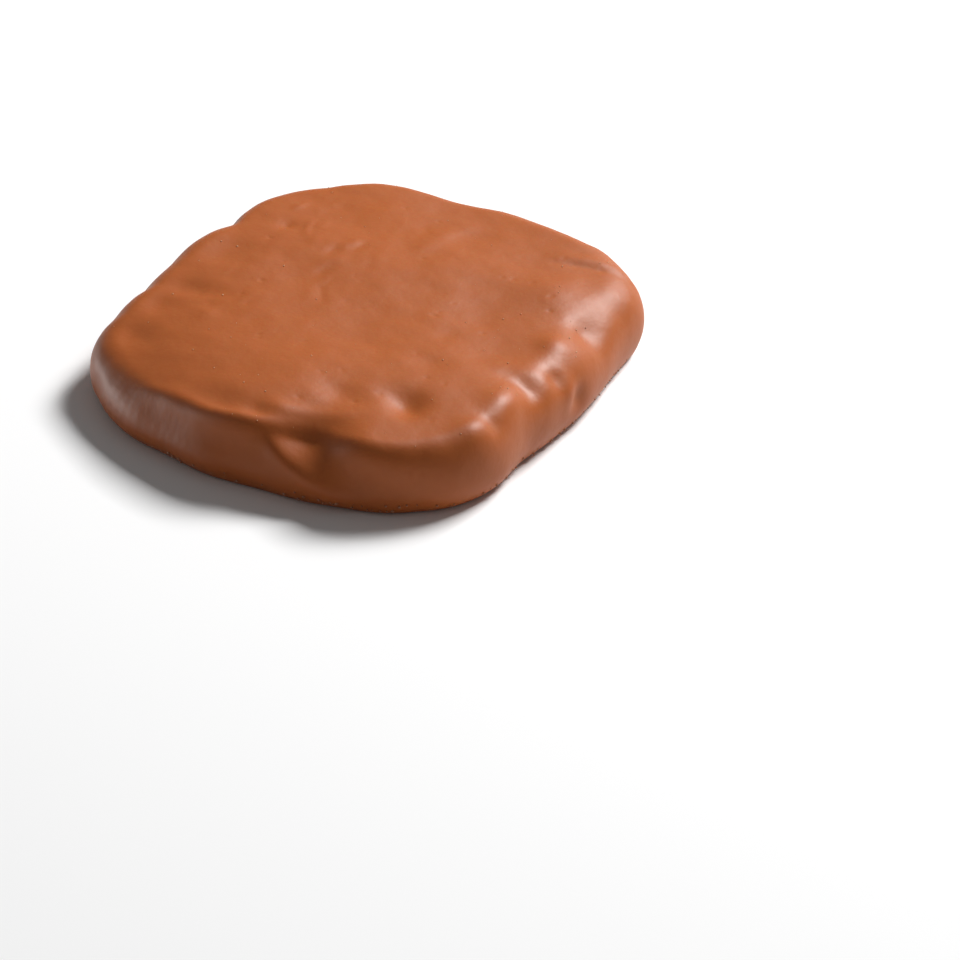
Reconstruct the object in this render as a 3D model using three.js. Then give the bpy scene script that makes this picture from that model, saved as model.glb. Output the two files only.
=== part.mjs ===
// A biscuit with a chopped-hazelnut filling, coated all over in milk chocolate.
//
// It is one solid: a rounded oblong with bowed sides that lies on a flat base. Its section is
// a small curve at the foot, a short wall and a broad soft shoulder. On that form lie the marks
// of the coating: dents and bumps where nuts sit under it, and folds where it ran and set.
//
// Millimetres, +Z up, +X along the biscuit, base on z = 0 and centred on its own box.

import * as THREE from 'three';

// ---------------------------------------------------------------- driving dimensions

const LENGTH = 60.5;                    // along X, before the ends bow
const WIDTH = 50;                       // along Y, before the sides bow
const HEIGHT = 9.2;                     // of the shoulder's top
const CROWN = 0.25;                     // how much the middle of the top stands above that

const CORNER_RADII = [17, 13, 17, 9.5]; // corners (+X+Y), (-X+Y), (-X-Y), (+X-Y)
const SIDE_BOWS = [1.0, 1.6, 0.6, 1.4]; // how far the +X, +Y, -X and -Y sides swell

const FOOT_INSET = 1.9;                 // the base is this much smaller than the belly
const FOOT_HEIGHT = 3.2;                // height of the belly, the widest level
const SHOULDER_INSET = 4.2;             // how far the shoulder runs in over the top
const SHOULDER_POWER = 2.3;             // 2 is an ellipse, more is squarer
const DROP_POWER = 3;                  // a drop of the rim fades out so fast towards the middle

const TOP_RINGS = 27;                   // rings of triangles from the middle to the shoulder
const SHOULDER_STEPS = 8;
const FOOT_STEPS = 3;
const ROUTE_STEPS = 24;                 // places tested along a fold
const GRIP_HEIGHT = 1.6;                // relief fades out below this, so that the base is flat

const CHOCOLATE = '#a0603c';

// Waves in the outline, outwards by `by`: seen from above they lie at `at` degrees from +X and
// reach `spread` degrees to each side. The three lists after this one are given in the same way.
const RIM_WAVES = [
  { at: 354, spread: 12, by: 1.2 },     // full middle of the far end
  { at: 35, spread: 9, by: -0.3 },      // flatter at the corner beside it
  { at: 72, spread: 5, by: -0.35 },     // pinch in the long side
  { at: 90, spread: 13, by: 0.4 },      // bulge beside the pinch
  { at: 147, spread: 8, by: -0.5 },     // flatter towards the low corner
  { at: 174, spread: 10, by: 1.0 },     // full end beside it
  { at: 203, spread: 8, by: -0.7 },     // flatter again
  { at: 225, spread: 9, by: 0.3 },      // round of the near corner
  { at: 250, spread: 8, by: -0.5 },     // flatter after the near corner
  { at: 279, spread: 12, by: 0.3 },     // full middle of the other long side
  { at: 326, spread: 8, by: -0.6 },     // flatter before the sharpest corner
];

// Where the rim hangs lower than the rest.
const RIM_DROPS = [
  { at: 142, spread: 26, by: 2.9 },     // the low corner
  { at: 215, spread: 18, by: 0.7 },     // the near corner, a little
];

// Where the shoulder is wider, or below 0 narrower.
const SHOULDER_WIDENINGS = [
  { at: 304, spread: 18, by: 4.0 },     // the long slope to the sharpest corner
  { at: 262, spread: 26, by: 1.8 },     // the near long side
  { at: 190, spread: 50, by: -1.6 },    // the near end turns down sharply
  { at: 196, spread: 9, by: 2.2 },      // but not at the scooped pocket
];

// Where the base stays further behind the belly, or below 0 less far.
const FOOT_WIDENINGS = [
  { at: 183, spread: 32, by: -0.6 },    // the coating has spread at the foot of the near end
];

// Dents (rise below 0) and bumps (above 0): a place on the biscuit, the way their long axis
// points from +X, their reach along and across it, and how much they rise.
const MARKS = [
  // dents in the near half of the top
  { at: [-17.6, -14.6, 9.1], turn: 200, reach: [2.6, 2.0], rise: -0.85 },
  { at: [-17.2, -12.2, 9.2], turn: 250, reach: [2.0, 1.6], rise: -0.25 },
  { at: [-19.8, -7.2, 9.2], turn: 250, reach: [3.0, 2.2], rise: -0.45 },
  { at: [-8.4, -12.0, 9.2], turn: 230, reach: [2.6, 2.0], rise: -0.3 },
  { at: [-1.6, -10.8, 9.3], turn: 0, reach: [1.8, 1.5], rise: -0.2 },
  // two broad hollows towards the far end
  { at: [-1.5, -17.8, 9.2], turn: 100, reach: [5.0, 4.0], rise: -0.3 },
  { at: [4.6, -12.6, 9.2], turn: 10, reach: [6.5, 6.0], rise: -0.6 },
  // dents along the near long side
  { at: [10.2, -23.4, 7.8], turn: 0, reach: [3.0, 2.6], rise: -0.9 },
  { at: [-5.6, -23.0, 8.6], turn: 90, reach: [3.0, 1.8], rise: -0.65 },
  { at: [-0.9, -24.9, 7.8], turn: 90, reach: [1.6, 1.3], rise: -0.35 },
  { at: [2.2, -26.6, 4.4], turn: 90, reach: [2.2, 1.7], rise: -0.5 },
  { at: [-14.8, -24.2, 8.6], turn: 90, reach: [2.2, 1.4], rise: -0.4 },
  // bumps between them
  { at: [14.6, -15.8, 9.2], turn: 330, reach: [4.4, 3.8], rise: 0.6 },
  { at: [3.6, -22.0, 9.0], turn: 10, reach: [2.2, 2.0], rise: 0.4 },
  { at: [0.6, -26.2, 5.8], turn: 0, reach: [1.8, 1.6], rise: 0.3 },
  { at: [-10.4, -22.8, 8.8], turn: 350, reach: [2.6, 2.2], rise: 0.4 },
  { at: [-18.0, -22.6, 8.8], turn: 330, reach: [2.4, 2.0], rise: 0.35 },
  // dents and pits along the far long side
  { at: [-20.0, 20.4, 7.4], turn: 60, reach: [3.0, 2.4], rise: -0.45 },
  { at: [-13.8, 20.8, 8.1], turn: 30, reach: [2.6, 2.0], rise: -0.4 },
  { at: [-8.9, 18.6, 8.8], turn: 100, reach: [3.2, 2.0], rise: -0.4 },
  { at: [0.2, 20.2, 9.1], turn: 0, reach: [3.2, 2.6], rise: -0.4 },
  { at: [10.3, 17.8, 9.2], turn: 0, reach: [1.4, 1.0], rise: -0.2 },
  { at: [-13.0, 14.9, 9.0], turn: 60, reach: [1.4, 1.2], rise: 0.22 },
  // pinches in the rim of that side
  { at: [8.6, 25.4, 8.0], turn: 70, reach: [2.2, 1.4], rise: -0.55 },
  { at: [-10.2, 25.0, 7.4], turn: 110, reach: [2.0, 1.4], rise: -0.25 },
  { at: [-16.6, 23.8, 6.4], turn: 125, reach: [2.0, 1.4], rise: -0.22 },
  // the near end: a sunk stretch of rim, a nick in it and the scooped pocket
  { at: [-28.4, 3.4, 8.5], turn: 90, reach: [4.5, 2.4], rise: -0.55 },
  { at: [-27.6, -1.0, 9.0], turn: 90, reach: [1.6, 1.4], rise: -0.3 },
  { at: [-28.2, -7.8, 8.8], turn: 100, reach: [4.0, 4.2], rise: -2.0 },
  { at: [-30.2, -6.8, 7.6], turn: 90, reach: [3.2, 2.2], rise: -0.6 },
];

// Folds where the coating ran: a curve from `from` to `to` that bends towards `over`.
const FOLDS = [
  // the ridge that runs down the end wall, and the trough beside it under the pocket
  { from: [-30.4, -4.4, 6.4], over: [-32.4, -7.2, 4.6], to: [-28.9, -13.2, 1.4], reach: 1.3, rise: 0.8 },
  { from: [-29.0, -9.6, 6.6], over: [-29.8, -12.6, 5.4], to: [-27.2, -17.4, 3.6], reach: 2.2, rise: -0.5 },
  // the flare of the foot along the end wall, and the trough above it
  { from: [-27.6, 18.6, 2.2], over: [-35.0, 4.0, 2.4], to: [-31.6, -7.0, 2.2], reach: 1.9, rise: 0.6 },
  { from: [-27.4, 17.5, 5.6], over: [-34.0, 4.0, 5.8], to: [-31.2, -3.0, 5.8], reach: 2.0, rise: -0.4 },
  // the lip above the pocket
  { from: [-26.6, -1.8, 9.2], over: [-25.6, -5.4, 9.4], to: [-23.4, -9.4, 9.2], reach: 1.3, rise: 0.35 },
  // the crease and the crest beside it, over the far end
  { from: [21.6, -13.2, 9.2], over: [23.4, -17.0, 9.2], to: [23.8, -22.0, 7.6], reach: 0.7, rise: -0.15 },
  { from: [23.2, -13.6, 9.2], over: [25.0, -17.4, 9.0], to: [25.4, -22.4, 7.2], reach: 1.3, rise: 0.3 },
  // a low run along the top
  { from: [13.9, 1.4, 9.3], over: [18.5, 1.2, 9.3], to: [23.4, 0.2, 9.1], reach: 1.6, rise: 0.22 },
];

// The unevenness of the whole coating: sets of waves, from long and high to short and low.
const SWELLS = [
  { wavelength: 26, rise: 0.18 },
  { wavelength: 13, rise: 0.07 },
  { wavelength: 7, rise: 0.03 },
];
const WAVES_IN_A_SET = 5;
const GOLDEN_ANGLE = Math.PI * (3 - Math.sqrt(5));

// ---------------------------------------------------------------- small helpers

const QUARTER = Math.PI / 2;
const FULL_TURN = 2 * Math.PI;
const { degToRad, smoothstep } = THREE.MathUtils;

// the signed angle in degrees from one direction to another, between -180 and 180
function turnBetween(angle, from) {
  return THREE.MathUtils.euclideanModulo(angle - from + 180, 360) - 180;
}

// ---------------------------------------------------------------- the outline from above

// distance from the middle to a rounded oblong's edge in the direction `angle`
function roundedOblong(angle) {
  const halfLength = LENGTH / 2;
  const halfWidth = WIDTH / 2;
  const quarter = Math.floor(THREE.MathUtils.euclideanModulo(angle, FULL_TURN) / QUARTER) % 4;
  const radius = CORNER_RADII[quarter];
  const across = Math.abs(Math.cos(angle));
  const up = Math.abs(Math.sin(angle));
  const cornerX = halfLength - radius;
  const cornerY = halfWidth - radius;
  const toEnd = halfLength / Math.max(across, 1e-9);
  if (toEnd * up <= cornerY) return toEnd;
  const toSide = halfWidth / Math.max(up, 1e-9);
  if (toSide * across <= cornerX) return toSide;
  const along = cornerX * across + cornerY * up;
  const rest = cornerX ** 2 + cornerY ** 2 - radius ** 2;
  return along + Math.sqrt(Math.max(along ** 2 - rest, 0));
}

// the sum of soft waves in the direction `angle`, each as high as its own `by`
function wavesAt(angle, waves) {
  const degrees = THREE.MathUtils.radToDeg(angle);
  let total = 0;
  for (const { at, spread, by } of waves) {
    total += by * Math.exp(-((turnBetween(degrees, at) / spread) ** 2));
  }
  return total;
}

function edgeDistance(angle) {
  const degrees = THREE.MathUtils.radToDeg(angle);
  let distance = roundedOblong(angle) + wavesAt(angle, RIM_WAVES);
  SIDE_BOWS.forEach((bow, side) => {
    const halfSpan = side % 2 === 0 ? Math.atan2(WIDTH, LENGTH) : Math.atan2(LENGTH, WIDTH);
    const off = turnBetween(degrees, 90 * side) / THREE.MathUtils.radToDeg(halfSpan);
    distance += bow * Math.max(1 - off ** 2, 0);
  });
  return distance;
}

// how far the shoulder runs in over the top in the direction `angle`
function shoulderInset(angle) {
  return SHOULDER_INSET + wavesAt(angle, SHOULDER_WIDENINGS);
}

// how far the base stays behind the belly in the direction `angle`
function footInset(angle) {
  return FOOT_INSET + wavesAt(angle, FOOT_WIDENINGS);
}

function towards(angle, distance) {
  return new THREE.Vector2(distance * Math.cos(angle), distance * Math.sin(angle));
}

// the outward direction of the edge, from two points close to each other on it
function edgeNormal(angle) {
  const step = degToRad(0.5);
  const after = towards(angle + step, edgeDistance(angle + step));
  const before = towards(angle - step, edgeDistance(angle - step));
  const run = after.sub(before).normalize();
  return new THREE.Vector2(run.y, -run.x);
}

// how much lower the form is at a distance from the middle, so that top and shoulder meet smoothly
function dropAt(angle, distance) {
  return wavesAt(angle, RIM_DROPS) * (distance / edgeDistance(angle)) ** DROP_POWER;
}

// ---------------------------------------------------------------- the section

// Each level of the side: its shares of the foot's and of the shoulder's inset, its height, how
// much of a drop of the rim it follows, and the outward and upward parts of its normal.
function sideLevels() {
  const levels = [];
  for (let i = 0; i <= FOOT_STEPS; i += 1) {
    const turn = (i / FOOT_STEPS) * QUARTER;
    levels.push({
      tuck: 1 - Math.sin(turn),
      lean: 0,
      z: FOOT_HEIGHT * (1 - Math.cos(turn)),
      follow: 0,
      out: Math.sin(turn),
      up: -Math.cos(turn),
    });
  }
  const rise = HEIGHT - FOOT_HEIGHT;
  for (let i = 1; i <= SHOULDER_STEPS; i += 1) {
    const turn = (i / SHOULDER_STEPS) * QUARTER;
    const inward = Math.cos(turn) ** (2 / SHOULDER_POWER);
    const upward = Math.sin(turn) ** (2 / SHOULDER_POWER);
    const out = inward ** (SHOULDER_POWER - 1) / SHOULDER_INSET;
    const up = upward ** (SHOULDER_POWER - 1) / rise;
    const size = Math.hypot(out, up);
    levels.push({
      tuck: 0,
      lean: 1 - inward,
      z: FOOT_HEIGHT + rise * upward,
      follow: upward,
      out: out / size,
      up: up / size,
    });
  }
  return levels;
}

// ---------------------------------------------------------------- the marks of the coating

function markRise(point, { at, turn, reach, rise }) {
  const axis = new THREE.Vector3(Math.cos(degToRad(turn)), Math.sin(degToRad(turn)), 0);
  const offset = point.clone().sub(new THREE.Vector3(...at));
  const along = offset.dot(axis);
  const across = Math.sqrt(Math.max(offset.lengthSq() - along ** 2, 0));
  return rise * Math.exp(-((along / reach[0]) ** 2) - (across / reach[1]) ** 2);
}

function foldRise(point, { from, over, to, reach, rise }) {
  const route = new THREE.QuadraticBezierCurve3(
    new THREE.Vector3(...from),
    new THREE.Vector3(...over),
    new THREE.Vector3(...to),
  );
  let highest = 0;
  for (let i = 0; i <= ROUTE_STEPS; i += 1) {
    const t = i / ROUTE_STEPS;
    const away = point.distanceTo(route.getPoint(t)) / reach;
    const taper = Math.sqrt(Math.sin(Math.PI * (0.08 + 0.84 * t)));
    highest = Math.max(highest, taper * Math.exp(-(away ** 2)));
  }
  return rise * highest;
}

function swellRise(point) {
  let total = 0;
  SWELLS.forEach(({ wavelength, rise }, set) => {
    for (let i = 0; i < WAVES_IN_A_SET; i += 1) {
      const index = set * WAVES_IN_A_SET + i;
      const heading = GOLDEN_ANGLE * index;
      const steep = 0.6 * Math.sin(1.7 * index);
      const along = point.x * Math.cos(heading) + point.y * Math.sin(heading) + point.z * steep;
      total += (rise / Math.sqrt(WAVES_IN_A_SET)) * Math.sin((FULL_TURN * along) / wavelength + 2.4 * index);
    }
  });
  return total;
}

function relief(point) {
  let total = swellRise(point);
  for (const mark of MARKS) total += markRise(point, mark);
  for (const fold of FOLDS) total += foldRise(point, fold);
  return total * smoothstep(point.z, 0, GRIP_HEIGHT);
}

function coat(point, normal) {
  return point.addScaledVector(normal, relief(point));
}

// ---------------------------------------------------------------- the solid

// Ring k of the top has 6k points, so its triangles are all about the same size.
function topRing(k) {
  const points = [];
  const share = k / TOP_RINGS;
  for (let i = 0; i < 6 * k; i += 1) {
    const angle = (FULL_TURN * i) / (6 * k);
    const distance = (edgeDistance(angle) - shoulderInset(angle)) * share;
    const place = towards(angle, distance);
    const z = HEIGHT + CROWN * (1 - share ** 2) - dropAt(angle, distance);
    points.push(coat(new THREE.Vector3(place.x, place.y, z), new THREE.Vector3(0, 0, 1)));
  }
  return points;
}

function sideRing({ tuck, lean, z, follow, out, up }) {
  const points = [];
  for (let i = 0; i < 6 * TOP_RINGS; i += 1) {
    const angle = (FULL_TURN * i) / (6 * TOP_RINGS);
    const away = edgeNormal(angle);
    const distance = edgeDistance(angle) - footInset(angle) * tuck - shoulderInset(angle) * lean;
    const place = towards(angle, distance);
    const height = z - dropAt(angle, distance) * follow;
    const normal = new THREE.Vector3(away.x * out, away.y * out, up);
    points.push(coat(new THREE.Vector3(place.x, place.y, height), normal));
  }
  return points;
}

// Triangles between ring k - 1 and ring k, sector by sector.
function joinTopRings(k, innerStart, outerStart, indices) {
  const innerCount = 6 * (k - 1);
  const outerCount = 6 * k;
  for (let sector = 0; sector < 6; sector += 1) {
    for (let i = 0; i < k; i += 1) {
      const outerA = outerStart + sector * k + i;
      const outerB = outerStart + ((sector * k + i + 1) % outerCount);
      const innerA = k === 1 ? innerStart : innerStart + ((sector * (k - 1) + i) % innerCount);
      indices.push(innerA, outerA, outerB);
      if (i < k - 1) {
        const innerB = innerStart + ((sector * (k - 1) + i + 1) % innerCount);
        indices.push(innerA, outerB, innerB);
      }
    }
  }
}

function joinSideRings(lowerStart, upperStart, count, indices) {
  for (let i = 0; i < count; i += 1) {
    const next = (i + 1) % count;
    indices.push(lowerStart + i, lowerStart + next, upperStart + next);
    indices.push(lowerStart + i, upperStart + next, upperStart + i);
  }
}

function biscuitGeometry() {
  const points = [];
  const indices = [];
  const add = (ring) => {
    points.push(...ring);
    return points.length - ring.length;
  };

  const summit = new THREE.Vector3(0, 0, HEIGHT + CROWN);
  let inner = add([coat(summit, new THREE.Vector3(0, 0, 1))]);
  for (let k = 1; k <= TOP_RINGS; k += 1) {
    const outer = add(topRing(k));
    joinTopRings(k, inner, outer, indices);
    inner = outer;
  }

  const around = 6 * TOP_RINGS;
  const levels = sideLevels().slice(0, -1);
  let upper = inner;
  for (const level of levels.reverse()) {
    const lower = add(sideRing(level));
    joinSideRings(lower, upper, around, indices);
    upper = lower;
  }

  const middle = add([new THREE.Vector3(0, 0, 0)]);
  for (let i = 0; i < around; i += 1) {
    indices.push(middle, upper + ((i + 1) % around), upper + i);
  }

  const geometry = new THREE.BufferGeometry().setFromPoints(points);
  geometry.setIndex(indices);
  geometry.computeBoundingBox();
  const centre = geometry.boundingBox.getCenter(new THREE.Vector3());
  geometry.translate(-centre.x, -centre.y, 0);
  geometry.computeVertexNormals();
  return geometry;
}

function makeBiscuit() {
  const finish = new THREE.MeshStandardMaterial({ color: CHOCOLATE, roughness: 0.45, metalness: 0 });
  const mesh = new THREE.Mesh(biscuitGeometry(), finish);
  mesh.name = 'biscuit';
  return mesh;
}

const object = new THREE.Group();
object.name = 'chocolate_hazelnut_biscuit';
object.add(makeBiscuit());

export default object;
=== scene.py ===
# %% [markdown]
# # A hazelnut biscuit in a milk chocolate coat
#
# This lesson dresses one biscuit. Its plain solid already has the true size and the main dents.
# Here it gets a coat smooth enough for a close look, with the small marks that liquid chocolate
# leaves as it sets, a satin chocolate finish, and the crumbs that stick to it.
#
# The first step loads the solid, which is the frame that everything else is fitted to. Its box is
# kept, and its size is printed.

# %% Load the frame
import math

import bmesh
import bpy
import numpy as np
from mathutils import Matrix, Vector


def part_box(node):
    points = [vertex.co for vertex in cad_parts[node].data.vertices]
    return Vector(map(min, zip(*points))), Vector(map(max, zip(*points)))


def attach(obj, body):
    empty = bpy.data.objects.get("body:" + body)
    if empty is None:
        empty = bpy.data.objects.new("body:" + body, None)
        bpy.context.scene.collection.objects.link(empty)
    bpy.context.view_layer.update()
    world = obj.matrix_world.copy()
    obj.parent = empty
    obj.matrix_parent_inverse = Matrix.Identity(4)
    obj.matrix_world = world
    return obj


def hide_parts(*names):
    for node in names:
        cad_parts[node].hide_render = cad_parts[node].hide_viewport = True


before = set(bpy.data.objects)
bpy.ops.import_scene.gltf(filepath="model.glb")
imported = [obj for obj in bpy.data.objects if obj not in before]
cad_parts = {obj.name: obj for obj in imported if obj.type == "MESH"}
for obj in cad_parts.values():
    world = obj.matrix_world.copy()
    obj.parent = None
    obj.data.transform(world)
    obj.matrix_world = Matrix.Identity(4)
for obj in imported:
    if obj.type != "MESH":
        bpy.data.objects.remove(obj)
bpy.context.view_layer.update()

MM = 0.001
TURN = 2 * math.pi
solid_low, solid_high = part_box("biscuit")
solid_size = (solid_high - solid_low) / MM
print("the solid measures", [round(side, 1) for side in solid_size], "mm")

# %% [markdown]
# ## The outline from above
#
# Seen from above, the biscuit is an oblong with a different round at each corner and sides that
# swell a little. One could draw that as a curve with many points. A formula is better here: the
# distance from the middle to the edge, in any direction. A rounded oblong is three cases, an end, a
# side or a corner arc, and the swelling and a few shallow waves are added to it. Waves of the same
# kind also say where the rim hangs lower, where the shoulder is wider and where the foot spreads.
# All of them are measured from the middle, so a wide shoulder can't fold over at a sharp corner.

# %% Driving sizes of the biscuit, in millimetres
LENGTH = 60.5
WIDTH = 50.0
HEIGHT = 9.2
CROWN = 0.25
CORNER_RADII = np.array([17.0, 13.0, 17.0, 9.5])  # corners (+X+Y), (-X+Y), (-X-Y), (+X-Y)
SIDE_BOWS = [1.0, 1.6, 0.6, 1.4]                  # +X, +Y, -X and -Y sides
FOOT_INSET = 1.9
FOOT_HEIGHT = 3.2
SHOULDER_INSET = 4.2
SHOULDER_POWER = 2.3
DROP_POWER = 3                                    # a drop of the rim fades out so fast inwards
GRIP_HEIGHT = 1.6                                 # relief fades out below this

# waves in the outline: (direction in degrees, spread in degrees, how far out)
RIM_WAVES = [
    (354, 12, 1.2), (35, 9, -0.3), (72, 5, -0.35), (90, 13, 0.4), (147, 8, -0.5), (174, 10, 1.0),
    (203, 8, -0.7), (225, 9, 0.3), (250, 8, -0.5), (279, 12, 0.3), (326, 8, -0.6),
]
# in the same way: where the rim hangs lower, where the shoulder is wider or narrower, and where
# the base stays further behind the belly or less far
RIM_DROPS = [(142, 26, 2.9), (215, 18, 0.7)]
SHOULDER_WIDENINGS = [(304, 18, 4.0), (262, 26, 1.8), (190, 50, -1.6), (196, 9, 2.2)]
FOOT_WIDENINGS = [(183, 32, -0.6)]

# %% The distance to the edge, and the edge's direction
NORMAL_STEP = math.radians(0.5)                  # the edge is sampled so far to each side


def turn_between(degrees, start):
    return (degrees - start + 180) % 360 - 180


def rounded_oblong(angle):
    radius = CORNER_RADII[((angle % TURN) // (TURN / 4)).astype(int) % 4]
    across, up = np.abs(np.cos(angle)), np.abs(np.sin(angle))
    corner_x, corner_y = LENGTH / 2 - radius, WIDTH / 2 - radius
    to_end = LENGTH / 2 / np.maximum(across, 1e-9)
    to_side = WIDTH / 2 / np.maximum(up, 1e-9)
    along = corner_x * across + corner_y * up
    rest = corner_x**2 + corner_y**2 - radius**2
    to_arc = along + np.sqrt(np.maximum(along**2 - rest, 0))
    on_side = np.where(to_side * across <= corner_x, to_side, to_arc)
    return np.where(to_end * up <= corner_y, to_end, on_side)


def waves_at(angle, waves):
    """The sum of soft waves in the directions that `waves` lists."""
    total = np.zeros(len(angle))
    for at, spread, height in waves:
        total += height * np.exp(-((turn_between(np.degrees(angle), at) / spread) ** 2))
    return total


def edge_distance(angle):
    distance = rounded_oblong(angle) + waves_at(angle, RIM_WAVES)
    for side, bow in enumerate(SIDE_BOWS):
        spans = (WIDTH, LENGTH) if side % 2 == 0 else (LENGTH, WIDTH)
        off = turn_between(np.degrees(angle), 90 * side) / math.degrees(math.atan2(*spans))
        distance += bow * np.maximum(1 - off**2, 0)
    return distance


def shoulder_inset(angle):
    return SHOULDER_INSET + waves_at(angle, SHOULDER_WIDENINGS)


def foot_inset(angle):
    return FOOT_INSET + waves_at(angle, FOOT_WIDENINGS)


def towards(angle, distance):
    return np.stack([distance * np.cos(angle), distance * np.sin(angle)], axis=1)


def edge_normals(angle):
    ahead, behind = angle + NORMAL_STEP, angle - NORMAL_STEP
    run = towards(ahead, edge_distance(ahead)) - towards(behind, edge_distance(behind))
    run /= np.linalg.norm(run, axis=1, keepdims=True)
    return np.stack([run[:, 1], -run[:, 0]], axis=1)


def drop_at(angle, distance):
    """How much lower the form is at a distance from the middle; top and shoulder meet smoothly."""
    return waves_at(angle, RIM_DROPS) * (distance / edge_distance(angle)) ** DROP_POWER


eight = np.radians(np.arange(0, 360, 45))
print("from the middle to the edge, each 45 degrees:", np.round(edge_distance(eight), 1), "mm")

# %% [markdown]
# ## The section of the side
#
# A coated biscuit is cast in nothing: the chocolate runs down its side and sets. So the foot tucks
# in with a small curve, the wall is short, and the shoulder is broad and soft. The shoulder is a
# quarter of a superellipse, a curve between an ellipse and a rectangle. Each level of the side also
# needs the direction it faces, because the marks of the coating are pushed in that direction.

# %% Levels of the side
def side_levels(foot_steps, shoulder_steps):
    """Rows of (share of the foot's inset, share of the shoulder's inset, height, how much of a
    drop of the rim it follows, outward and upward part of the normal)."""
    turn = np.linspace(0, math.pi / 2, foot_steps + 1)
    none = np.zeros(len(turn))
    foot = np.stack([1 - np.sin(turn), none, FOOT_HEIGHT * (1 - np.cos(turn)), none,
                     np.sin(turn), -np.cos(turn)], axis=1)
    turn = np.linspace(0, math.pi / 2, shoulder_steps + 1)[1:]
    none = np.zeros(len(turn))
    rise = HEIGHT - FOOT_HEIGHT
    inward = np.maximum(np.cos(turn), 0) ** (2 / SHOULDER_POWER)
    upward = np.sin(turn) ** (2 / SHOULDER_POWER)
    out = inward ** (SHOULDER_POWER - 1) / SHOULDER_INSET
    up = upward ** (SHOULDER_POWER - 1) / rise
    size = np.hypot(out, up)
    shoulder = np.stack([none, 1 - inward, FOOT_HEIGHT + rise * upward, upward,
                         out / size, up / size], axis=1)
    return np.concatenate([foot, shoulder])


print("the side has its belly at", FOOT_HEIGHT, "mm and its shoulder's top at", HEIGHT, "mm")

# %% [markdown]
# ## Dents and bumps
#
# Chopped nuts lie under the coat and push it up, and between them it sinks. Each such mark is a
# soft hill or hollow: a place, the way its long axis points, its reach along and across, and its
# rise. A sculpting brush would do this too, but a list of places can be read, changed and repeated.

# %% The marks that the solid has too
# (place, direction of the long axis, reach along and across, rise)
MARKS = [
    # dents in the near half of the top
    ((-17.6, -14.6, 9.1), 200, (2.6, 2.0), -0.85),
    ((-17.2, -12.2, 9.2), 250, (2.0, 1.6), -0.25),
    ((-19.8, -7.2, 9.2), 250, (3.0, 2.2), -0.45),
    ((-8.4, -12.0, 9.2), 230, (2.6, 2.0), -0.3),
    ((-1.6, -10.8, 9.3), 0, (1.8, 1.5), -0.2),
    # two broad hollows towards the far end
    ((-1.5, -17.8, 9.2), 100, (5.0, 4.0), -0.3),
    ((4.6, -12.6, 9.2), 10, (6.5, 6.0), -0.6),
    # dents along the near long side
    ((10.2, -23.4, 7.8), 0, (3.0, 2.6), -0.9),
    ((-5.6, -23.0, 8.6), 90, (3.0, 1.8), -0.65),
    ((-0.9, -24.9, 7.8), 90, (1.6, 1.3), -0.35),
    ((2.2, -26.6, 4.4), 90, (2.2, 1.7), -0.5),
    ((-14.8, -24.2, 8.6), 90, (2.2, 1.4), -0.4),
    # bumps between them
    ((14.6, -15.8, 9.2), 330, (4.4, 3.8), 0.6),
    ((3.6, -22.0, 9.0), 10, (2.2, 2.0), 0.4),
    ((0.6, -26.2, 5.8), 0, (1.8, 1.6), 0.3),
    ((-10.4, -22.8, 8.8), 350, (2.6, 2.2), 0.4),
    ((-18.0, -22.6, 8.8), 330, (2.4, 2.0), 0.35),
    # dents and pits along the far long side
    ((-20.0, 20.4, 7.4), 60, (3.0, 2.4), -0.45),
    ((-13.8, 20.8, 8.1), 30, (2.6, 2.0), -0.4),
    ((-8.9, 18.6, 8.8), 100, (3.2, 2.0), -0.4),
    ((0.2, 20.2, 9.1), 0, (3.2, 2.6), -0.4),
    ((10.3, 17.8, 9.2), 0, (1.4, 1.0), -0.2),
    ((-13.0, 14.9, 9.0), 60, (1.4, 1.2), 0.22),
    # pinches in the rim of that side
    ((8.6, 25.4, 8.0), 70, (2.2, 1.4), -0.55),
    ((-10.2, 25.0, 7.4), 110, (2.0, 1.4), -0.25),
    ((-16.6, 23.8, 6.4), 125, (2.0, 1.4), -0.22),
    # the near end: a sunk stretch of rim, a nick in it, and the scooped pocket with its sunk rim
    ((-28.4, 3.4, 8.5), 90, (4.5, 2.4), -0.55),
    ((-27.6, -1.0, 9.0), 90, (1.6, 1.4), -0.3),
    ((-28.2, -7.8, 8.8), 100, (4.0, 4.2), -2.0),
    ((-30.2, -6.8, 7.6), 90, (3.2, 2.2), -0.6),
]


def mark_rise(points, mark):
    at, turn, reach, rise = mark
    axis = np.array([math.cos(math.radians(turn)), math.sin(math.radians(turn)), 0.0])
    offset = points - np.array(at)
    along = offset @ axis
    across = np.sqrt(np.maximum((offset**2).sum(axis=1) - along**2, 0))
    return rise * np.exp(-((along / reach[0]) ** 2) - (across / reach[1]) ** 2)


print(len(MARKS), "dents and bumps")

# %% [markdown]
# ## Folds and runs
#
# Where the coat was thick it ran before it set, and left a ridge. Down the end wall one such ridge
# curves under a scooped pocket, and beside it the foot flares out. A thin crease crosses the far
# end, with a crest next to it. A fold is a curve between two places that bends towards a third,
# and the coat rises or sinks near that curve.

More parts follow.
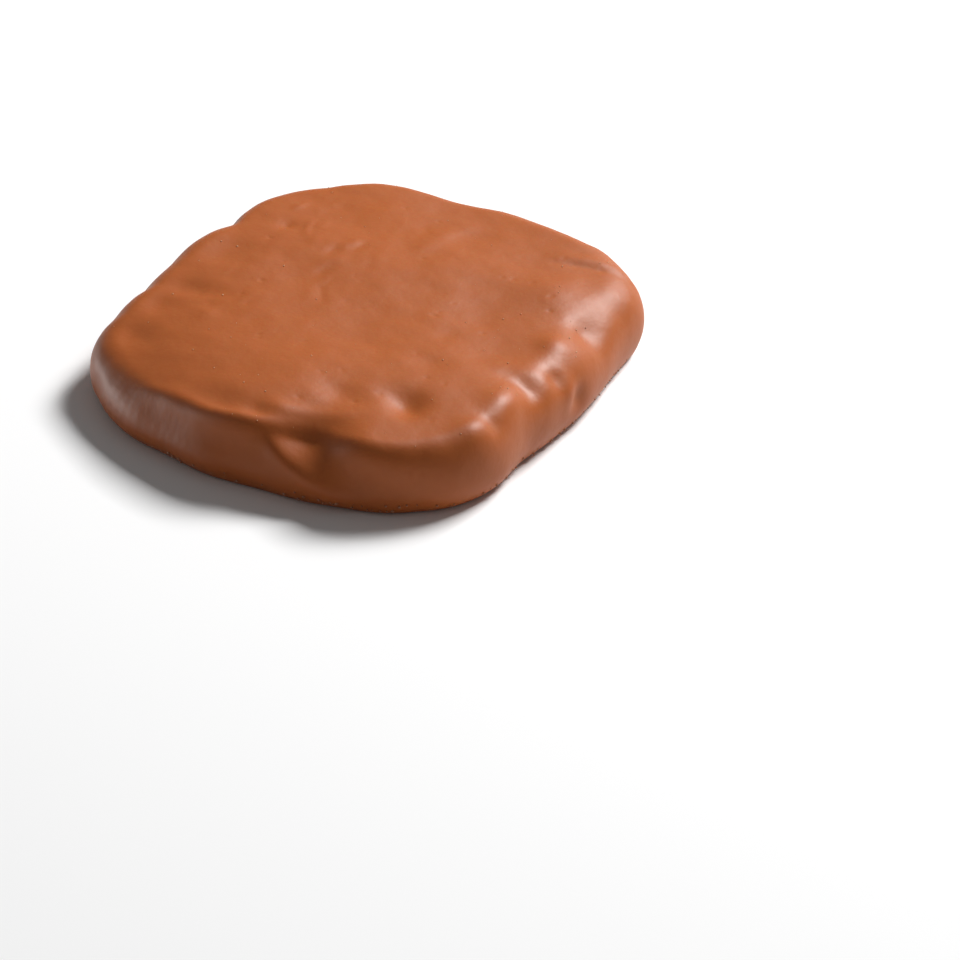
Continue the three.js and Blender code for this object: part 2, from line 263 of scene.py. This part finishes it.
# %% The folds that the solid has too
# (start, the place it bends towards, end, reach, rise)
FOLDS = [
    # the ridge down the end wall, and the trough beside it under the pocket
    ((-30.4, -4.4, 6.4), (-32.4, -7.2, 4.6), (-28.9, -13.2, 1.4), 1.3, 0.8),
    ((-29.0, -9.6, 6.6), (-29.8, -12.6, 5.4), (-27.2, -17.4, 3.6), 2.2, -0.5),
    # the flare of the foot along the end wall, and the trough above it
    ((-27.6, 18.6, 2.2), (-35.0, 4.0, 2.4), (-31.6, -7.0, 2.2), 1.9, 0.6),
    ((-27.4, 17.5, 5.6), (-34.0, 4.0, 5.8), (-31.2, -3.0, 5.8), 2.0, -0.4),
    # the lip above the pocket
    ((-26.6, -1.8, 9.2), (-25.6, -5.4, 9.4), (-23.4, -9.4, 9.2), 1.3, 0.35),
    # the crease and the crest beside it, over the far end
    ((21.6, -13.2, 9.2), (23.4, -17.0, 9.2), (23.8, -22.0, 7.6), 0.7, -0.15),
    ((23.2, -13.6, 9.2), (25.0, -17.4, 9.0), (25.4, -22.4, 7.2), 1.3, 0.3),
    # a low run along the top
    ((13.9, 1.4, 9.3), (18.5, 1.2, 9.3), (23.4, 0.2, 9.1), 1.6, 0.22),
]
ROUTE_STEPS = 24
FOLD_ENDS = 0.08                                 # share of a half wave left out at each end


def fold_rise(points, fold):
    start, over, end, reach, rise = fold
    start, over, end = (np.array(place) for place in (start, over, end))
    highest = np.zeros(len(points))
    for t in np.linspace(0, 1, ROUTE_STEPS + 1):
        place = (1 - t) ** 2 * start + 2 * (1 - t) * t * over + t**2 * end
        away = ((points - place) ** 2).sum(axis=1) / reach**2
        taper = math.sqrt(math.sin(math.pi * (FOLD_ENDS + (1 - 2 * FOLD_ENDS) * t)))
        highest = np.maximum(highest, taper * np.exp(-away))
    return rise * highest


print(len(FOLDS), "folds")

# %% [markdown]
# ## The unevenness of the whole coat
#
# No part of a poured coat is flat. Sums of waves that run in many directions give that gentle
# unevenness, from long and high to short and low, and they give the same surface on every run. The
# golden angle spreads the directions, so that no pattern shows. The solid has the three longest
# sets, and the fine ones are only here, as its triangles are too large for them.

# %% Swells
SWELLS = [(26, 0.18), (13, 0.07), (7, 0.03)]     # (wavelength, rise)
FINE_SWELLS = [(3.8, 0.016), (2.1, 0.005)]
WAVES_IN_A_SET = 5
GOLDEN_ANGLE = math.pi * (3 - math.sqrt(5))
SLANT = 0.6                                      # how far waves may run up or down
SLANT_TURN = 1.7                                 # from one wave to the next, in radians
PHASE_TURN = 2.4


def swell_rise(points, sets):
    total = np.zeros(len(points))
    for number, (wavelength, rise) in enumerate(sets):
        for i in range(WAVES_IN_A_SET):
            index = number * WAVES_IN_A_SET + i
            heading = GOLDEN_ANGLE * index
            slant = SLANT * math.sin(SLANT_TURN * index)
            toward = np.array([math.cos(heading), math.sin(heading), slant])
            phase = TURN * (points @ toward) / wavelength + PHASE_TURN * index
            total += rise / math.sqrt(WAVES_IN_A_SET) * np.sin(phase)
    return total


print("swells from", SWELLS[0][0], "mm long down to", FINE_SWELLS[-1][0], "mm")

# %% [markdown]
# ## Short runs and pin holes
#
# Over the far half of the top the coat was blown along while it was soft, and short low ridges lie
# side by side there. Here and there an air bubble burst and left a hole as small as a pin's point.
# Both are drawn from a seeded generator, which gives the same marks each time.

# %% Ranges to draw from, in millimetres
SHORT_RUNS = 46
RUN_ALONG, RUN_ACROSS = (-14, 20), (3, 21)       # where they lie on the top
RUN_HEADING, RUN_HEADING_SPREAD = 8, 14          # in degrees
RUN_LENGTH = (1.8, 4.2)
RUN_BEND = (-0.8, 0.8)
RUN_REACH = (0.5, 0.9)
RUN_RISE = (-0.09, 0.11)
PIN_HOLES = 46
HOLE_ALONG, HOLE_ACROSS = (-25, 25), (-20, 21)
HOLE_REACH = (0.22, 0.36)
HOLE_RISE = (-0.10, -0.05)

# %% Draw the short runs and the pin holes
draw = np.random.default_rng(21)

short_runs = []
for _ in range(SHORT_RUNS):
    start = np.array([draw.uniform(*RUN_ALONG), draw.uniform(*RUN_ACROSS), HEIGHT])
    heading = math.radians(draw.normal(RUN_HEADING, RUN_HEADING_SPREAD))
    ahead = np.array([math.cos(heading), math.sin(heading), 0.0])
    aside = np.array([-ahead[1], ahead[0], 0.0])
    length = draw.uniform(*RUN_LENGTH)
    over = start + ahead * length / 2 + aside * draw.uniform(*RUN_BEND)
    reach = draw.uniform(*RUN_REACH)
    short_runs.append((start, over, start + ahead * length, reach, draw.uniform(*RUN_RISE)))

pin_holes = []
for _ in range(PIN_HOLES):
    place = (draw.uniform(*HOLE_ALONG), draw.uniform(*HOLE_ACROSS), HEIGHT)
    reach = draw.uniform(*HOLE_REACH)
    pin_holes.append((place, 0, (reach, reach), draw.uniform(*HOLE_RISE)))
print(len(short_runs), "short runs and", len(pin_holes), "pin holes")

# %% [markdown]
# ## Putting the relief together
#
# All marks are added up and the coat is pushed out along its own normal. The relief fades out
# towards the base, which stays flat, so the biscuit lies steadily.

# %% The whole relief
def relief(points):
    total = swell_rise(points, SWELLS) + swell_rise(points, FINE_SWELLS)
    for mark in MARKS + pin_holes:
        total += mark_rise(points, mark)
    for fold in FOLDS + short_runs:
        total += fold_rise(points, fold)
    grip = np.clip(points[:, 2] / GRIP_HEIGHT, 0, 1)
    return total * grip**2 * (3 - 2 * grip)


def coat(points, normals):
    return points + normals * relief(points)[:, None]


middle_of_top = np.array([[0.0, 0.0, HEIGHT]])
print("the relief at the middle of the top is", round(float(relief(middle_of_top)[0]), 2), "mm")

# %% [markdown]
# ## The mesh of the coat
#
# The top is made of rings: ring k has 6k points, so the triangles are all about the same size and
# no crowd of slivers meets in the middle. The side is rings of one length, one for each level, and
# the underside is rings again. Real undersides carry faint ripples of the belt they cooled on, so
# the inner rings of the base are lifted by a hair and only its rim touches the table.

# %% Rings and their triangles
TOP_RINGS = 96
SHOULDER_STEPS = 26
FOOT_STEPS = 10
BELT_PITCH = 4.6
BELT_LIFT = 0.12
BELT_BEND, BELT_BEND_REACH = 0.6, 5              # the ripples aren't quite straight
BASE_RIM = 0.9                                   # share of the base, from the middle, with ripples
BASE_FADE = 0.12                                 # over which share they fade out


def ring_angles(k):
    return np.arange(6 * k) * TURN / (6 * k)


def ring_start(k):
    """The number of the first point of ring k. Ring 0 is the point in the middle."""
    return 1 + 3 * k * (k - 1) if k else 0


def disc_triangles(k, inner, outer):
    """Triangles between ring k - 1, whose points start at `inner`, and ring k at `outer`."""
    rows = []
    for sector in range(6):
        for i in range(k):
            a = outer + sector * k + i
            b = outer + (sector * k + i + 1) % (6 * k)
            c = inner + (sector * (k - 1) + i) % max(6 * (k - 1), 1)
            rows.append((c, a, b))
            if i < k - 1:
                rows.append((c, b, inner + (sector * (k - 1) + i + 1) % (6 * (k - 1))))
    return rows


def wall_triangles(lower, upper, count):
    rows = []
    for i in range(count):
        after = (i + 1) % count
        rows.append((lower + i, lower + after, upper + after))
        rows.append((lower + i, upper + after, upper + i))
    return rows


# %% The points of the top, the side and the base
def top_points():
    rings = [np.array([[0.0, 0.0, HEIGHT + CROWN]])]
    for k in range(1, TOP_RINGS + 1):
        angle = ring_angles(k)
        share = k / TOP_RINGS
        distance = (edge_distance(angle) - shoulder_inset(angle)) * share
        height = HEIGHT + CROWN * (1 - share**2) - drop_at(angle, distance)
        rings.append(np.column_stack([towards(angle, distance), height]))
    points = np.concatenate(rings)
    return coat(points, np.tile([0.0, 0.0, 1.0], (len(points), 1)))


def side_points(level):
    tuck, lean, height, follow, out, up = level
    angle = ring_angles(TOP_RINGS)
    away = edge_normals(angle)
    distance = edge_distance(angle) - foot_inset(angle) * tuck - shoulder_inset(angle) * lean
    points = np.column_stack([towards(angle, distance), height - follow * drop_at(angle, distance)])
    return coat(points, np.column_stack([away * out, np.full(len(angle), up)]))


def base_points():
    rings = [np.zeros((1, 3))]
    for k in range(1, TOP_RINGS):
        angle = ring_angles(k)
        share = k / TOP_RINGS
        place = towards(angle, (edge_distance(angle) - foot_inset(angle)) * share)
        rings.append(np.column_stack([place, np.zeros(6 * k)]))
    points = np.concatenate(rings)
    inside = np.hypot(points[:, 0] / LENGTH, points[:, 1] / WIDTH) * 2
    fade = np.clip((BASE_RIM - inside) / BASE_FADE, 0, 1)
    along = points[:, 0] + BELT_BEND * np.sin(points[:, 1] / BELT_BEND_REACH)
    ripple = 0.5 - 0.5 * np.cos(TURN * along / BELT_PITCH)
    points[:, 2] = BELT_LIFT * fade * ripple
    return points


# %% Join the rings into one closed mesh
def biscuit_mesh():
    """Its points and triangles. The outer ring of the top is also the highest level of the side."""
    levels = side_levels(FOOT_STEPS, SHOULDER_STEPS)[:-1][::-1]
    parts, triangles = [top_points()], []
    for k in range(1, TOP_RINGS + 1):
        triangles += disc_triangles(k, ring_start(k - 1), ring_start(k))
    around = 6 * TOP_RINGS
    start = len(parts[0])
    upper = start - around
    for level in levels:
        parts.append(side_points(level))
        triangles += wall_triangles(start, upper, around)
        upper = start
        start += around
    parts.append(base_points())
    for k in range(1, TOP_RINGS + 1):
        outer = upper if k == TOP_RINGS else start + ring_start(k)
        rows = disc_triangles(k, start + ring_start(k - 1), outer)
        triangles += [(a, c, b) for a, b, c in rows]
    return np.concatenate(parts), triangles


points, triangles = biscuit_mesh()
middle = (points.max(axis=0) + points.min(axis=0)) / 2
to_box_middle = np.array([-middle[0], -middle[1], 0.0])
points = points + to_box_middle
print(len(points), "points and", len(triangles), "triangles, size",
      np.round(points.max(axis=0) - points.min(axis=0), 2), "mm")

# %% Make the piece that stands for the plain solid
def mesh_piece(name, points_mm, faces):
    mesh = bpy.data.meshes.new(name)
    mesh.from_pydata((points_mm * MM).tolist(), [], faces)
    mesh.validate()
    mesh.shade_smooth()
    piece = bpy.data.objects.new(name, mesh)
    bpy.context.scene.collection.objects.link(piece)
    return piece


coated_biscuit = mesh_piece("coated_biscuit", points, triangles)
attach(coated_biscuit, "root")
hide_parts("biscuit")
print(coated_biscuit.name, "has", len(coated_biscuit.data.polygons), "triangles")

# %% [markdown]
# ## Crumbs
#
# Flakes of chocolate break off the foot and stay there, and fine biscuit dust sticks to the top.
# Each kind is one mesh of many little lumps. A lump starts as an icosphere, its points are moved in
# or out at random, and it is squashed, so that no two are alike. Every lump is sunk a little into
# the coat below it, which is found by asking the finished mesh for its nearest point.

# %% A lump, and a way to strew many
def lump_shape():
    shape = bmesh.new()
    bmesh.ops.create_icosphere(shape, subdivisions=1, radius=1.0)
    shape.verts.ensure_lookup_table()
    corners = np.array([corner.co[:] for corner in shape.verts])
    faces = np.array([[corner.index for corner in face.verts] for face in shape.faces])
    shape.free()
    return corners, faces


lump_corners, lump_faces = lump_shape()
LUMP_SQUASH = (0.55, 1.0)
LUMP_UNEVENNESS = (0.75, 1.15)
LUMP_STAND = 0.3                                 # its middle is so much of its size off the coat
LUMP_LOWEST = 0.02                               # no lump goes below the floor


def strew(name, places, sizes):
    """One mesh of lumps. `places` are near the coat, and each lump is set on it."""
    all_points, all_faces = [], []
    for place, size in zip(places, sizes):
        _, on_coat, facing, _ = coated_biscuit.closest_point_on_mesh(Vector(place * MM))
        squash = draw.uniform(*LUMP_SQUASH, 3)
        unevenness = draw.uniform(*LUMP_UNEVENNESS, (len(lump_corners), 1))
        corners = lump_corners * unevenness * squash * size
        spin = Matrix.Rotation(draw.uniform(0, TURN), 3, Vector(draw.normal(size=3)).normalized())
        centre = np.array(on_coat) / MM + np.array(facing) * size * LUMP_STAND
        corners = corners @ np.array(spin).T + centre
        corners[:, 2] = np.maximum(corners[:, 2], LUMP_LOWEST)
        all_faces += (lump_faces + len(all_points) * len(lump_corners)).tolist()
        all_points.append(corners)
    return mesh_piece(name, np.concatenate(all_points), all_faces)


print("a lump has", len(lump_faces), "triangles")

# %% Flakes along the foot, most of them on the two near sides
FLAKES = 96
FLAKES_ALL_ROUND = FLAKES // 4
NEAR_SIDES = (160, 320)                          # directions, in degrees
FLAKE_HEIGHT = (0.2, 1.6)
FLAKE_SIZE = (0.10, 0.26)


def on_outline(angle, share=1):
    return towards(angle, edge_distance(angle) * share) + to_box_middle[:2]


flake_angle = np.concatenate([draw.uniform(0, TURN, FLAKES_ALL_ROUND),
                              np.radians(draw.uniform(*NEAR_SIDES, FLAKES - FLAKES_ALL_ROUND))])
flake_places = np.column_stack([on_outline(flake_angle), draw.uniform(*FLAKE_HEIGHT, FLAKES)])
foot_flakes = strew("foot_flakes", flake_places, draw.uniform(*FLAKE_SIZE, FLAKES))

# %% Dust on the top, spread evenly over its area
DUST = 90
DUST_AREA = (0.02, 0.98)                         # share of the area, from the middle
DUST_SIZE = (0.05, 0.12)
ABOVE_TOP = HEIGHT + 1

dust_angle = draw.uniform(0, TURN, DUST)
dust_share = np.sqrt(draw.uniform(*DUST_AREA, DUST))
dust_places = np.column_stack([on_outline(dust_angle, dust_share), np.full(DUST, ABOVE_TOP)])
biscuit_dust = strew("biscuit_dust", dust_places, draw.uniform(*DUST_SIZE, DUST))

for crumbs in (foot_flakes, biscuit_dust):
    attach(crumbs, "root")
    print(crumbs.name, "has", len(crumbs.data.polygons), "triangles")

# %% [markdown]
# ## Effects that the finishes share
#
# Chocolate and crumbs both vary in tone and both have a fine grain, so these two effects are node
# groups, built once and placed in each material with its own values. `cocoa_tone` mixes two tones
# by a broad and a fine noise. `fine_grain` gives a height for a Bump node. Both read the object's
# own coordinates, so the pattern stays on the surface from every side.

# %% A small helper for node groups
def new_group(name, inputs, outputs):
    group = bpy.data.node_groups.new(name, "ShaderNodeTree")
    for label, kind, default in inputs:
        socket = group.interface.new_socket(name=label, in_out="INPUT", socket_type=kind)
        socket.default_value = default
    for label, kind in outputs:
        group.interface.new_socket(name=label, in_out="OUTPUT", socket_type=kind)
    return group, group.nodes.new("NodeGroupInput"), group.nodes.new("NodeGroupOutput")


def noise(tree, coordinates, scale, detail):
    """A noise whose scale comes from the socket `scale`."""
    node = tree.nodes.new("ShaderNodeTexNoise")
    node.inputs["Detail"].default_value = detail
    tree.links.new(coordinates, node.inputs["Vector"])
    tree.links.new(scale, node.inputs["Scale"])
    return node.outputs["Fac"]


# %% The cocoa_tone group
BROAD_DETAIL, FINE_DETAIL = 3.0, 2.0
FINE_SHARE = 0.3                                 # the fine noise counts so much of the broad one
NOISE_RANGE = (0.45, 0.85)                       # what becomes 0 and 1 in the mask


def make_cocoa_tone():
    group, given, result = new_group(
        "cocoa_tone",
        [("Tone", "NodeSocketColor", (0.3, 0.1, 0.04, 1)),
         ("Other Tone", "NodeSocketColor", (0.2, 0.07, 0.03, 1)),
         ("Broad Scale", "NodeSocketFloat", 60.0), ("Fine Scale", "NodeSocketFloat", 900.0),
         ("Strength", "NodeSocketFloat", 1.0)],
        [("Color", "NodeSocketColor"), ("Mask", "NodeSocketFloat")])
    place = group.nodes.new("ShaderNodeTexCoord").outputs["Object"]
    broad = noise(group, place, given.outputs["Broad Scale"], BROAD_DETAIL)
    fine = noise(group, place, given.outputs["Fine Scale"], FINE_DETAIL)
    both = group.nodes.new("ShaderNodeMath")
    both.operation = "MULTIPLY_ADD"
    both.inputs[1].default_value = FINE_SHARE
    group.links.new(fine, both.inputs[0])
    group.links.new(broad, both.inputs[2])
    spread = group.nodes.new("ShaderNodeMapRange")
    spread.inputs["From Min"].default_value = NOISE_RANGE[0]
    spread.inputs["From Max"].default_value = NOISE_RANGE[1]
    group.links.new(both.outputs[0], spread.inputs["Value"])
    weaken = group.nodes.new("ShaderNodeMath")
    weaken.operation = "MULTIPLY"
    group.links.new(spread.outputs["Result"], weaken.inputs[0])
    group.links.new(given.outputs["Strength"], weaken.inputs[1])
    mix = group.nodes.new("ShaderNodeMix")
    mix.data_type = "RGBA"
    group.links.new(weaken.outputs[0], mix.inputs["Factor"])
    group.links.new(given.outputs["Tone"], mix.inputs["A"])
    group.links.new(given.outputs["Other Tone"], mix.inputs["B"])
    group.links.new(mix.outputs["Result"], result.inputs["Color"])
    group.links.new(weaken.outputs[0], result.inputs["Mask"])
    return group


cocoa_tone = make_cocoa_tone()

# %% The fine_grain group
GRAIN_DETAIL = 4.0


def make_fine_grain():
    group, given, result = new_group(
        "fine_grain",
        [("Scale", "NodeSocketFloat", 1500.0), ("Depth", "NodeSocketFloat", 1.0)],
        [("Height", "NodeSocketFloat")])
    place = group.nodes.new("ShaderNodeTexCoord").outputs["Object"]
    grain = noise(group, place, given.outputs["Scale"], GRAIN_DETAIL)
    deep = group.nodes.new("ShaderNodeMath")
    deep.operation = "MULTIPLY"
    group.links.new(grain, deep.inputs[0])
    group.links.new(given.outputs["Depth"], deep.inputs[1])
    group.links.new(deep.outputs[0], result.inputs["Height"])
    return group


fine_grain = make_fine_grain()
print("node groups:", cocoa_tone.name, "and", fine_grain.name)

# %% [markdown]
# ## The chocolate finish
#
# Set milk chocolate is satin: it has a broad soft shine and no mirror. It lets a little light in,
# so it gets some subsurface scattering with a short red-brown reach. Its roughness varies with the
# same mask as its tone: the darker of its two tones is also the drier one. Constants are set on the
# shader's own sockets.

# %% What all finishes have
GRAIN_STRENGTH = 0.5
GRAIN_DISTANCE = 0.0001                          # in metres


def finish(name, tone, other_tone, broad, fine, strength, rough, grain_scale, grain_depth):
    """Two tones, a roughness that follows them from `rough[0]` to `rough[1]`, and a grain."""
    material = bpy.data.materials.new(name)
    material.use_nodes = True
    tree = material.node_tree
    shader = tree.nodes["Principled BSDF"]
    tones = tree.nodes.new("ShaderNodeGroup")
    tones.node_tree = cocoa_tone
    for label, value in (("Tone", tone), ("Other Tone", other_tone), ("Broad Scale", broad),
                         ("Fine Scale", fine), ("Strength", strength)):
        tones.inputs[label].default_value = value
    tree.links.new(tones.outputs["Color"], shader.inputs["Base Color"])
    span = tree.nodes.new("ShaderNodeMapRange")
    span.inputs["To Min"].default_value = rough[0]
    span.inputs["To Max"].default_value = rough[1]
    tree.links.new(tones.outputs["Mask"], span.inputs["Value"])
    tree.links.new(span.outputs["Result"], shader.inputs["Roughness"])
    grain = tree.nodes.new("ShaderNodeGroup")
    grain.node_tree = fine_grain
    grain.inputs["Scale"].default_value = grain_scale
    grain.inputs["Depth"].default_value = grain_depth
    bump = tree.nodes.new("ShaderNodeBump")
    bump.inputs["Strength"].default_value = GRAIN_STRENGTH
    bump.inputs["Distance"].default_value = GRAIN_DISTANCE
    tree.links.new(grain.outputs["Height"], bump.inputs["Height"])
    tree.links.new(bump.outputs["Normal"], shader.inputs["Normal"])
    return material


# %% The three finishes
milk_chocolate = finish(
    "milk_chocolate", tone=(0.385, 0.094, 0.016, 1), other_tone=(0.345, 0.083, 0.014, 1),
    broad=70.0, fine=900.0, strength=0.7, rough=(0.46, 0.56), grain_scale=1400.0, grain_depth=0.6)
chocolate_shader = milk_chocolate.node_tree.nodes["Principled BSDF"]
chocolate_shader.inputs["Subsurface Weight"].default_value = 0.25
chocolate_shader.inputs["Subsurface Radius"].default_value = (1.0, 0.35, 0.12)
chocolate_shader.inputs["Subsurface Scale"].default_value = 0.0014
chocolate_shader.inputs["IOR"].default_value = 1.36
coated_biscuit.data.materials.append(milk_chocolate)

flake_finish = finish(
    "chocolate_flake", tone=(0.30, 0.10, 0.045, 1), other_tone=(0.42, 0.19, 0.10, 1),
    broad=400.0, fine=2000.0, strength=1.0, rough=(0.5, 0.7), grain_scale=3000.0, grain_depth=1.0)
foot_flakes.data.materials.append(flake_finish)

dust_finish = finish(
    "biscuit_dust", tone=(0.62, 0.36, 0.20, 1), other_tone=(0.75, 0.52, 0.34, 1),
    broad=500.0, fine=2500.0, strength=1.0, rough=(0.7, 0.85), grain_scale=4000.0, grain_depth=1.0)
biscuit_dust.data.materials.append(dust_finish)
print("finishes:", [m.name for m in (milk_chocolate, flake_finish, dust_finish)])

# %% [markdown]
# ## Floor, light and camera
#
# The floor is plain and pale, and wide enough that no edge of it is seen. One broad light stands
# behind and to the right, halfway up. It makes the top bright, draws the soft highlights on the
# near shoulder and leaves the near end in its own shade. A long low light on the left gives that
# end a pale sheen. It lights nothing else: diffuse rays don't see it, so only the gloss shows it.
# The sky is weak, so that the shaded end stays dark.

# %% The floor
FLOOR_HALF = 3.0                                 # in metres
FLOOR_GREY = 0.86
FLOOR_ROUGHNESS = 0.9

floor_corners = [(-FLOOR_HALF, -FLOOR_HALF, 0), (FLOOR_HALF, -FLOOR_HALF, 0),
                 (FLOOR_HALF, FLOOR_HALF, 0), (-FLOOR_HALF, FLOOR_HALF, 0)]
floor = mesh_piece("floor", np.array(floor_corners) / MM, [(0, 1, 2, 3)])
floor_finish = bpy.data.materials.new("pale_floor")
floor_finish.use_nodes = True
floor_shader = floor_finish.node_tree.nodes["Principled BSDF"]
floor_shader.inputs["Base Color"].default_value = (FLOOR_GREY, FLOOR_GREY, FLOOR_GREY, 1)
floor_shader.inputs["Roughness"].default_value = FLOOR_ROUGHNESS
floor.data.materials.append(floor_finish)
print("the floor is", 2 * FLOOR_HALF, "m wide")

# %% The lights
SKY_STRENGTH = 0.16


def soft_light(name, toward, distance, wide, high, watts):
    """An area light in the direction `toward` from the biscuit, facing it."""
    data = bpy.data.lights.new(name, "AREA")
    data.shape = "RECTANGLE"
    data.size, data.size_y = wide, high
    data.energy = watts
    light = bpy.data.objects.new(name, data)
    bpy.context.scene.collection.objects.link(light)
    direction = Vector(toward).normalized()
    light.location = direction * distance
    light.rotation_euler = (-direction).to_track_quat("-Z", "Y").to_euler()
    return light


key_light = soft_light("key_back_right", toward=(0.71, -0.18, 0.67), distance=0.9,
                       wide=0.30, high=0.30, watts=13.4)
sheen_light = soft_light("sheen_left", toward=(-0.30, 0.95, 0.03), distance=0.5,
                         wide=0.40, high=0.04, watts=2.0)
sheen_light.visible_diffuse = False

world = bpy.data.worlds.new("studio")
bpy.context.scene.world = world
world.use_nodes = True
sky = world.node_tree.nodes["Background"]
sky.inputs["Color"].default_value = (1.0, 1.0, 1.0, 1)
sky.inputs["Strength"].default_value = SKY_STRENGTH
bpy.context.scene.view_settings.view_transform = "Standard"
print("lights:", key_light.name, "and", sheen_light.name)

# %% The camera
VIEW_TURN, VIEW_TILT, VIEW_ROLL = math.radians(-65), math.radians(32), math.radians(5.5)
PICTURE = 960                                    # pixels across the square picture
FOCAL_PIXELS = 3500.0                            # a long lens
PIXELS_PER_MM = 8.45                             # at the biscuit
PLACE_IN_PICTURE = (367.0, 368.5)                # where the middle of its base is seen
SENSOR = 36.0                                    # in millimetres
CLIP_START = 0.01                                # in metres

back = Vector((math.sin(VIEW_TURN) * math.cos(VIEW_TILT),
               -math.cos(VIEW_TURN) * math.cos(VIEW_TILT), math.sin(VIEW_TILT)))
level = Vector((math.cos(VIEW_TURN), math.sin(VIEW_TURN), 0))
upright = back.cross(level)
right = level * math.cos(VIEW_ROLL) + upright * math.sin(VIEW_ROLL)
above = upright * math.cos(VIEW_ROLL) - level * math.sin(VIEW_ROLL)

off_x, off_y = (place - PICTURE / 2 for place in PLACE_IN_PICTURE)
aim = (-off_x * right + off_y * above) / PIXELS_PER_MM * MM
camera_data = bpy.data.cameras.new("camera")
camera_data.sensor_fit = "HORIZONTAL"
camera_data.sensor_width = SENSOR
camera_data.lens = FOCAL_PIXELS / PICTURE * SENSOR
camera_data.clip_start = CLIP_START
camera = bpy.data.objects.new("camera", camera_data)
bpy.context.scene.collection.objects.link(camera)
place = aim + back * FOCAL_PIXELS / PIXELS_PER_MM * MM
camera.matrix_world = Matrix((
    (right.x, above.x, back.x, place.x),
    (right.y, above.y, back.y, place.y),
    (right.z, above.z, back.z, place.z),
    (0, 0, 0, 1)))
bpy.context.scene.camera = camera
print("the camera stands", round(place.length / MM), "mm away, with a lens of",
      round(camera_data.lens), "mm")
